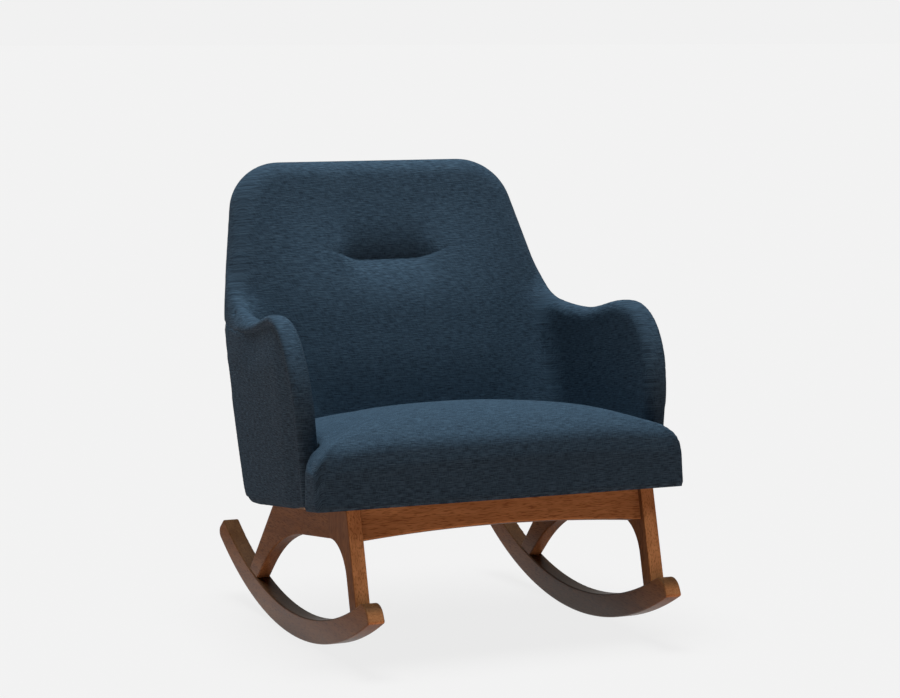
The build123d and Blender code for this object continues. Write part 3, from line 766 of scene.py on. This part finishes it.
class ROCKER_OT_shell(bpy.types.Operator):
    """Inside back and arms in one sweep, with the stitched pinch"""

    bl_idname = "rocker.shell"
    bl_label = "Back and arms"

    def execute(self, context):
        sizes, _ = settings()
        nodes = ("back_pad", "arm_pad_left", "arm_pad_right")
        solid_arms = ("arm_board_left", "arm_board_right", "outer_arm_left", "outer_arm_right")
        shell = merged_copy("shell_cushion", nodes + solid_arms)
        self.fill_pocket(shell)
        voxel_remesh(shell, sizes.shell_voxel)
        relax(shell, 6)
        level_foot(shell, 0.004, 0.010)
        self.sweep_corners(shell)
        self.sink_panels(shell)
        round_hem(shell)
        round_heel(shell)
        lower_saddle(shell)
        self.clear_panels(shell)
        self.pull_pinch(shell)
        for _, side in SIDES:
            sink_seam(shell, arm_seam(side), 0.004, sizes.seam_depth)
        cloth = cloth_material("Cloth up the back", (1.0, 1.0, 0.0), (0.0, 0.15, 1.0))
        finish_soft(shell, nodes, cloth)
        return {"FINISHED"}

    def fill_pocket(self, shell):
        """Fills the room of the inner frame, the groove of the pinch and the foot of the arms."""
        layer, layers = 0.0045, 10
        shifts = [tuple(BACK_FRONT * layer * i) for i in range(layers)]
        filler = merged_copy("filler", ("outer_back",), shifts)
        bm = bmesh.new()
        bm.from_mesh(shell.data)
        bm.from_mesh(filler.data)
        bm.to_mesh(shell.data)
        bm.free()
        bpy.data.objects.remove(filler)
        groove_up, groove_in, groove_size = 0.489, 0.0155, (0.235, 0.062, 0.030)
        groove = BACK_FOOT + groove_up * BACK_UP - groove_in * BACK_FRONT
        add_block(shell, groove, (ACROSS, BACK_UP, -BACK_FRONT), groove_size)
        foot_back, foot_up, foot_out, foot_size = 0.235, 0.0095, 0.334, (0.032, 0.300, 0.018)
        for _, side in SIDES:
            middle = DECK_CORNER + foot_back * DECK_BACK + foot_up * DECK_UP
            foot = middle + np.array((foot_out * side, 0.0, 0.0))
            add_block(shell, foot, (ACROSS, DECK_BACK, DECK_UP), foot_size)

    def sweep_corners(self, shell):
        """Lets the arms run into the back."""
        points = read_points(shell)
        x, s, out = back_place(points)
        corner = np.hypot(np.abs(x) - 0.316, out)
        inner = np.maximum(smooth_step(0.343, 0.336, np.abs(x)), smooth_step(0.590, 0.600, points[:, 2]))
        fill_hollows(shell, np.exp(-(corner / 0.085) ** 2) * smooth_step(-0.05, 0.05, s) * inner, 170)
        wing = np.exp(-((np.abs(x) - 0.362) / 0.045) ** 2)
        wing = wing * smooth_step(0.350, 0.385, s) * smooth_step(0.50, 0.42, s)
        relax(shell, 40, wing[:, None], 0.0)

    def sink_panels(self, shell):
        """Makes room for the outside panels behind the rolled band of each arm."""
        rim = panel_rim()
        for _, side in SIDES:
            outside = side * (arm_outside(rim) - 0.002)
            refine_near(shell, [np.array((x, *place[1:])) for x, place in zip(outside, rim)], 0.020, 1)
        points = read_points(shell)
        normals = read_normals(shell)
        inside, away = panel_depth(points)
        face = smooth_step(0.55, 0.80, normals[:, 0] * np.sign(points[:, 0]))
        near = smooth_step(0.012, 0.006, np.abs(arm_outside(points) - half_width(points)))
        recess, rear_loss = 0.008, 0.8
        sink = recess * smooth_step(-0.002, 0.010, np.where(inside, away, -away)) * face * near
        sink *= 1.0 - rear_loss * smooth_step(0.02, 0.16, points[:, 1])
        points[:, 0] -= np.sign(points[:, 0]) * sink
        write_points(shell, points)

    def clear_panels(self, shell):
        """Keeps the shell inside the panels that cover its back and its lower outside edges."""
        clearance, lift = 0.0025, 0.002
        points = read_points(shell)
        behind = smooth_step(0.75, 0.95, -(read_normals(shell) @ BACK_FRONT))
        _, height = deck_place(points)
        hem = smooth_step(0.024, 0.012, height) * smooth_step(0.330, 0.345, half_width(points))
        hem = hem * smooth_step(-0.215, -0.195, points[:, 1])
        points += (clearance * behind)[:, None] * BACK_FRONT + (lift * hem)[:, None] * DECK_UP
        points[:, 0] -= clearance * hem * np.sign(points[:, 0])
        write_points(shell, points)

    def pull_pinch(self, shell):
        """Swells the filling of the back and pulls the pinch into it."""
        sizes, _ = settings()
        refine_near(shell, pinch_line(), 0.030, 2)
        points = read_points(shell)
        x, s, out = back_place(points)
        front = smooth_step(0.3, 0.8, read_normals(shell) @ BACK_FRONT) * smooth_step(-0.03, -0.005, out)
        inside = smooth_step(0.31, 0.14, np.abs(x)) * smooth_step(0.02, 0.30, s) * smooth_step(0.62, 0.36, s)
        swell = sizes.back_crown * inside
        up = s - sizes.tuft_height - pinch_rise(x)
        middle = smooth_step(sizes.tuft_half + 0.025, sizes.tuft_half - 0.030, np.abs(x))
        above = 0.65 * np.exp(-np.abs(up) / (0.008 + 0.020 * middle)) + 0.35 * np.exp(-(up / 0.060) ** 2)
        below = 0.45 * np.exp(-np.abs(up) / (0.004 + 0.007 * middle)) + 0.55 * np.exp(-(up / 0.055) ** 2)
        fall = np.where(up > 0, above, below)
        pinch = sizes.tuft_depth * fall * (0.80 * middle + 0.20 * np.exp(-(x / 0.130) ** 4))
        write_points(shell, points + BACK_FRONT * (front * (swell - pinch))[:, None])


class ROCKER_OT_outer_arms(bpy.types.Operator):
    """Outside arm panels, sewn in behind the rolled band of each arm"""

    bl_idname = "rocker.outer_arms"
    bl_label = "Outside arms"

    def execute(self, context):
        sizes, _ = settings()
        for name, side in SIDES:
            node = "outer_arm_" + name
            panel = merged_copy("arm_panel_" + name, (node,))
            voxel_remesh(panel, sizes.panel_voxel)
            relax(panel, 4)
            level_foot(panel, 0.003, 0.008)
            points = read_points(panel)
            normals = read_normals(panel)
            _, away = panel_depth(points)
            rise = smooth_step(0.0, 0.085, away)
            outward = smooth_step(0.2, 0.7, normals[:, 0] * side)
            sink = sizes.panel_sink * (1.2 * smooth_step(0.16, 0.02, points[:, 1]) - 0.2)
            points[:, 0] += side * outward * (rise * (sink + sizes.panel_swell) - sink)
            write_points(panel, points)
            round_hem(panel)
            round_heel(panel)
            lower_saddle(panel)
            finish_soft(panel, (node,), cloth_material("Cloth up the arm", ALONG, UPWARD))
        return {"FINISHED"}


class ROCKER_OT_outer_back(bpy.types.Operator):
    """Outside back panel, tight over the frame"""

    bl_idname = "rocker.outer_back"
    bl_label = "Outside back"

    def execute(self, context):
        sizes, _ = settings()
        panel = merged_copy("back_panel", ("outer_back",))
        voxel_remesh(panel, sizes.panel_voxel)
        relax(panel, 4)
        cloth = cloth_material("Cloth up the outside", ACROSS, (0.0, 0.3, 1.0))
        finish_soft(panel, ("outer_back",), cloth)
        return {"FINISHED"}


class ROCKER_OT_seat(bpy.types.Operator):
    """Crowned seat with ears in front of the arms"""

    bl_idname = "rocker.seat"
    bl_label = "Seat"

    def execute(self, context):
        sizes, _ = settings()
        seat = merged_copy("seat_cushion", ("seat_pad",))
        voxel_remesh(seat, sizes.seat_voxel)
        relax(seat, 6)
        level_foot(seat, 0.003)
        self.lower_ends(seat)
        self.blend_crown(seat)
        self.lay_weave(seat)
        cloth = cloth_material("Cloth over the seat", ACROSS, ALONG, True)
        finish_soft(seat, ("seat_pad",), cloth)
        return {"FINISHED"}

    def lower_ends(self, seat):
        """Lets the crown fall away towards both ends."""
        points = read_points(seat)
        _, height = deck_place(points)
        fall = 0.085 * np.maximum(height, 0.0) * smooth_step(0.19, 0.37, half_width(points))
        write_points(seat, points - fall[:, None] * DECK_UP)

    def blend_crown(self, seat):
        """Runs the crown into the falling front, and lets the filling press it out."""
        points = read_points(seat)
        along, height = deck_place(points)
        top = smooth_step(0.75, 0.9, read_normals(seat) @ DECK_UP)
        top = top * smooth_step(0.0, 0.03, along) * smooth_step(0.355, 0.32, half_width(points))
        relax(seat, 60, top[:, None], 0.0)
        held = 1.0 - smooth_step(0.03, 0.09, height) * smooth_step(0.36, 0.30, along)
        press_out(seat, held, pressure=3.0, cap=0.006)

    def lay_weave(self, seat):
        """Runs the weave over the top and down the front."""
        points = read_points(seat)
        normals = read_normals(seat)
        along, height = deck_place(points)
        flank = smooth_step(0.5, 0.95, np.abs(normals[:, 0]))
        across = points[:, 0] + flank * np.sign(points[:, 0]) * along
        store_weave(seat, across, (1.0 - flank) * along + height)


class ROCKER_OT_dust_cover(bpy.types.Operator):
    """Thin black cloth stretched under the seat"""

    bl_idname = "rocker.dust_cover"
    bl_label = "Dust cover"

    def execute(self, context):
        depth, most_sag = 0.0008, 0.0015
        low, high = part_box("dust_cover")
        width = high.x - low.x
        bm = bmesh.new()
        bmesh.ops.create_grid(bm, x_segments=44, y_segments=30, size=0.5)
        for vert in bm.verts:
            across, along = vert.co.x, vert.co.y + 0.5
            sag = most_sag * (1.0 - (2.0 * across) ** 2) * (1.0 - (2.0 * along - 1.0) ** 2)
            y = low.y + along * (high.y - low.y)
            z = high.z - (y - low.y) * math.tan(SEAT_TILT) - depth - sag
            vert.co = (across * width, y, z)
        mesh = bpy.data.meshes.new("lining_cloth")
        bm.to_mesh(mesh)
        bm.free()
        cover = bpy.data.objects.new("lining_cloth", mesh)
        context.scene.collection.objects.link(cover)
        mesh.shade_smooth()
        mesh.materials.append(lining_material())
        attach(cover, "root")
        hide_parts("dust_cover")
        return {"FINISHED"}


class ROCKER_OT_base(bpy.types.Operator):
    """Walnut stain on runners, legs and rails"""

    bl_idname = "rocker.base"
    bl_label = "Base"

    def execute(self, context):
        _, colours = settings()
        turns = {"runner": (0.0, 0.0, math.pi / 2), "side": (0.0, 0.0, math.pi / 2),
                 "front_leg": (0.0, math.pi / 2, 0.0), "rear_leg": (math.radians(-43), 0.0, math.pi / 2),
                 "cross": (0.0, 0.0, 0.0)}
        tones = (colours.walnut_dark, colours.walnut_mid, colours.walnut_light)
        for group, names in WALNUT.items():
            for i, name in enumerate(names):
                title = "Walnut " + name.replace("_", " ")
                shift = (0.37 * i, 0.11 * i, 0.23 * len(group))
                dress_node(name, wood_material(title, tones, turns[group], shift, gloss=0.50))
        return {"FINISHED"}


class ROCKER_OT_inner_frame(bpy.types.Operator):
    """Plain wood, straps and bolts inside and under the body"""

    bl_idname = "rocker.inner_frame"
    bl_label = "Inner frame"

    def execute(self, context):
        tones = ((0.16, 0.10, 0.055), (0.42, 0.29, 0.17), (0.58, 0.43, 0.28))
        level = (0.0, 0.0, 0.0)
        pale = wood_material("Sawn frame wood", tones, level, level, gloss=0.0)
        dressed = ((HIDDEN_WOOD, pale), (STRAPS, strap_material()), (HARDWARE, steel_material()))
        for names, material in dressed:
            for name in names:
                dress_node(name, material)
        return {"FINISHED"}


class ROCKER_OT_stage(bpy.types.Operator):
    """Pale floor, soft studio light and the camera of the picture"""

    bl_idname = "rocker.stage"
    bl_label = "Stage"

    def execute(self, context):
        _, colours = settings()
        context.scene.view_settings.view_transform = "Standard"
        self.lay_floor(context.scene, colours.backdrop)
        self.fill_room(context.scene, colours.backdrop)
        self.hang_lights(context.scene)
        self.place_camera(context.scene)
        return {"FINISHED"}

    def lay_floor(self, scene, backdrop):
        """Floor that the camera sees nearly as even as the backdrop, and other rays as dull."""
        bm = bmesh.new()
        bmesh.ops.create_grid(bm, x_segments=1, y_segments=1, size=200.0)
        mesh = bpy.data.meshes.new("floor")
        bm.to_mesh(mesh)
        bm.free()
        floor = bpy.data.objects.new("floor", mesh)
        scene.collection.objects.link(floor)
        material, tree = new_material("Pale floor")
        rays = tree.nodes.new("ShaderNodeLightPath")
        dull = tree.nodes.new("ShaderNodeBsdfDiffuse")
        dull.inputs["Color"].default_value = (0.62, 0.43, 0.36, 1.0)
        lit = tree.nodes.new("ShaderNodeBsdfDiffuse")
        lit.inputs["Color"].default_value = colour([part * 0.90 for part in backdrop])
        even = tree.nodes.new("ShaderNodeEmission")
        even.inputs["Color"].default_value = colour(backdrop)
        pale = tree.nodes.new("ShaderNodeMixShader")
        pale.inputs[0].default_value = 0.925
        wire(tree, lit.outputs[0], pale.inputs[1])
        wire(tree, even.outputs[0], pale.inputs[2])
        mix = tree.nodes.new("ShaderNodeMixShader")
        seen = math_node(tree, "MAXIMUM", rays.outputs["Is Camera Ray"], rays.outputs["Is Glossy Ray"])
        wire(tree, seen, mix.inputs[0])
        wire(tree, dull.outputs[0], mix.inputs[1])
        wire(tree, pale.outputs[0], mix.inputs[2])
        wire(tree, mix.outputs[0], tree.nodes.new("ShaderNodeOutputMaterial").inputs["Surface"])
        mesh.materials.append(material)

    def fill_room(self, scene, backdrop):
        """Plain backdrop for the camera, and a weak warm fill for everything else."""
        strength, reflected = 0.04, 0.35
        scene.world = bpy.data.worlds.new("Studio")
        scene.world.use_nodes = True
        tree = scene.world.node_tree
        tree.nodes.clear()
        rays = tree.nodes.new("ShaderNodeLightPath")
        seen = math_node(tree, "MAXIMUM", rays.outputs["Is Camera Ray"], rays.outputs["Is Transmission Ray"])
        plain = tree.nodes.new("ShaderNodeBackground")
        plain.inputs["Color"].default_value = colour(backdrop)
        fill = tree.nodes.new("ShaderNodeBackground")
        fill.inputs["Color"].default_value = (1.0, 0.90, 0.82, 1.0)
        glow = math_node(tree, "MULTIPLY_ADD", rays.outputs["Is Glossy Ray"], reflected)
        glow.node.inputs[2].default_value = strength
        wire(tree, glow, fill.inputs["Strength"])
        mix = tree.nodes.new("ShaderNodeMixShader")
        wire(tree, seen, mix.inputs[0])
        wire(tree, fill.outputs[0], mix.inputs[1])
        wire(tree, plain.outputs[0], mix.inputs[2])
        wire(tree, mix.outputs[0], tree.nodes.new("ShaderNodeOutputWorld").inputs["Surface"])

    def hang_lights(self, scene):
        """Broad key light from above, and a strip over the top of the back."""
        lamp = bpy.data.lights.new("key", "SUN")
        lamp.energy = 3.9
        lamp.angle = math.radians(34)
        key = bpy.data.objects.new("key", lamp)
        scene.collection.objects.link(key)
        key.rotation_euler = Vector((0.02, -0.13, -1.0)).to_track_quat("-Z", "Y").to_euler()
        lamp = bpy.data.lights.new("strip", "AREA")
        lamp.shape = "RECTANGLE"
        lamp.size = 0.70
        lamp.size_y = 0.20
        lamp.energy = 0.7
        strip = bpy.data.objects.new("strip", lamp)
        scene.collection.objects.link(strip)
        strip.location = (0.0, 0.14, 1.27)
        strip.visible_camera = False
        strip.visible_glossy = False

    def place_camera(self, scene):
        """Camera of the picture, turned to the right and a little down."""
        lens = bpy.data.cameras.new("camera")
        lens.sensor_width = 36.0
        lens.lens = 108.0
        lens.clip_end = 500.0
        camera = bpy.data.objects.new("camera", lens)
        scene.collection.objects.link(camera)
        camera.location = (-2.0141, -4.7538, 1.1391)
        azimuth, drop = math.radians(23.196), math.radians(6.720)
        level = math.cos(drop)
        aim = Vector((math.sin(azimuth) * level, math.cos(azimuth) * level, -math.sin(drop)))
        camera.rotation_euler = aim.to_track_quat("-Z", "Y").to_euler()
        scene.camera = camera


STEPS = (ROCKER_OT_shell, ROCKER_OT_outer_arms, ROCKER_OT_outer_back, ROCKER_OT_seat, ROCKER_OT_dust_cover,
         ROCKER_OT_base, ROCKER_OT_inner_frame, ROCKER_OT_stage)


class ROCKER_PT_panel(bpy.types.Panel):
    """Lists the pieces of the chair"""

    bl_idname = "ROCKER_PT_panel"
    bl_label = "Rocking chair"
    bl_space_type = "VIEW_3D"
    bl_region_type = "UI"
    bl_category = "Rocking chair"

    def draw(self, context):
        for step in STEPS:
            self.layout.operator(step.bl_idname)
        for group in (context.scene.rocker_sizes, context.scene.rocker_colours):
            for name in group.__annotations__:
                self.layout.prop(group, name)


CLASSES = (RockerSizes, RockerColours, *STEPS, ROCKER_PT_panel)


def register():
    for item in CLASSES:
        bpy.utils.register_class(item)
    bpy.types.Scene.rocker_sizes = PointerProperty(type=RockerSizes)
    bpy.types.Scene.rocker_colours = PointerProperty(type=RockerColours)


def unregister():
    del bpy.types.Scene.rocker_colours
    del bpy.types.Scene.rocker_sizes
    for item in reversed(CLASSES):
        bpy.utils.unregister_class(item)


def main():
    register()
    bpy.ops.rocker.shell()
    bpy.ops.rocker.outer_arms()
    bpy.ops.rocker.outer_back()
    bpy.ops.rocker.seat()
    bpy.ops.rocker.dust_cover()
    bpy.ops.rocker.base()
    bpy.ops.rocker.inner_frame()
    bpy.ops.rocker.stage()
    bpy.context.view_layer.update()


if __name__ == "__main__":
    main()
